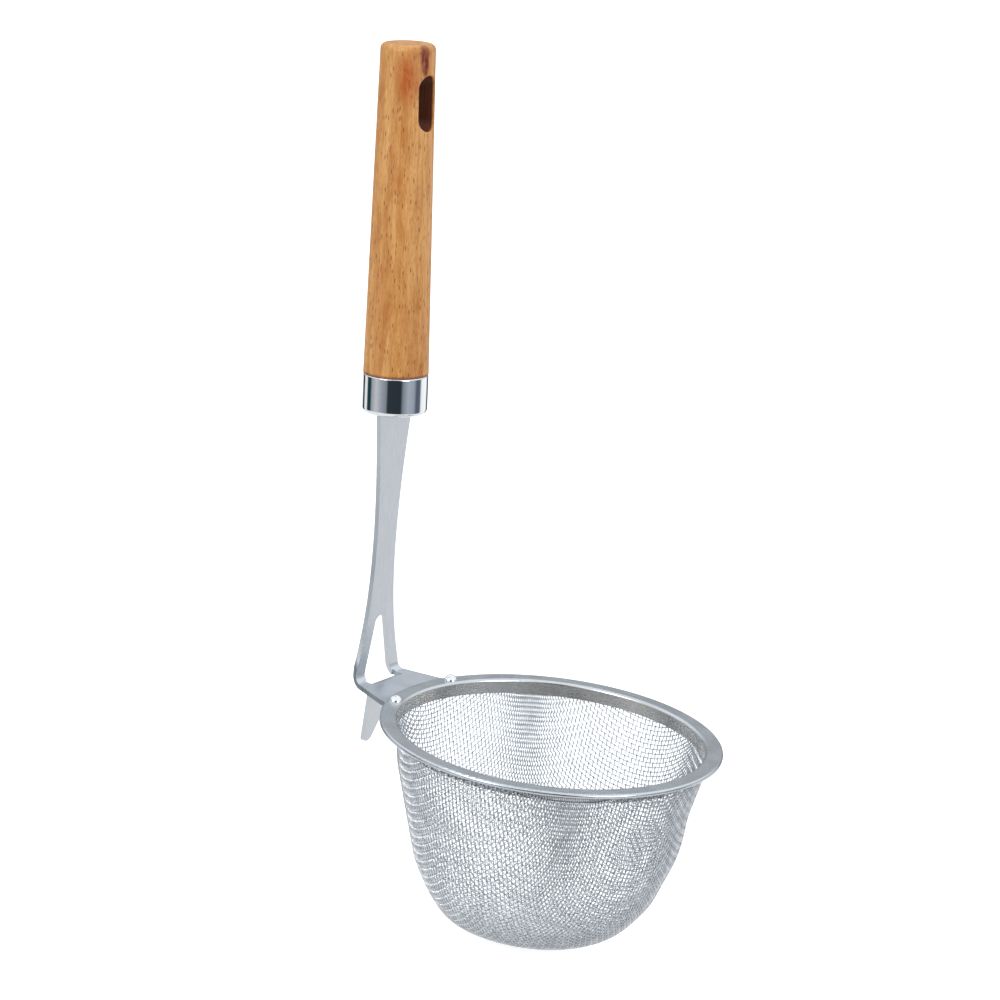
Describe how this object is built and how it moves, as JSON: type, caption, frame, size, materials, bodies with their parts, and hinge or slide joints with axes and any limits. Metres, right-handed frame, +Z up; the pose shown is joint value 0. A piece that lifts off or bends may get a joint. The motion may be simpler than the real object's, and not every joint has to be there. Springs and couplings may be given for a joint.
{
  "type": "tea strainer",
  "caption": "Long-handled wire-mesh strainer: deep woven basket in a pressed rim, stamped bracket with a pot-rim hook, ferrule and tapered wooden grip.",
  "frame": {"origin": "the hook seat: the spot on the underside of the bracket's bridge plate, on the symmetry plane between the hook tongue and the rim, that rests on the edge of a pot", "axes": "+Z up out of the basket, square to the rim; +X from the handle towards the basket; the object is symmetric about the XZ plane"},
  "size_m": [0.1391, 0.105, 0.2639],
  "materials": {
    "rim_steel": "satin, brushed round the rim",
    "wire_steel": "bright drawn wire",
    "bracket_steel": "satin, tumbled",
    "rivet_steel": "polished",
    "beech": "oiled, semi-gloss",
    "resin": "matt",
    "ferrule_steel": "polished"
  },
  "bodies": {
    "root": {"rim_ring": "rim_steel", "mesh_basket": "wire_steel", "neck_bracket": "bracket_steel", "rivet_left": "rivet_steel", "rivet_right": "rivet_steel", "handle_grip": "beech", "tang_adhesive": "resin", "ferrule": "ferrule_steel"}
  },
  "joints": []
}
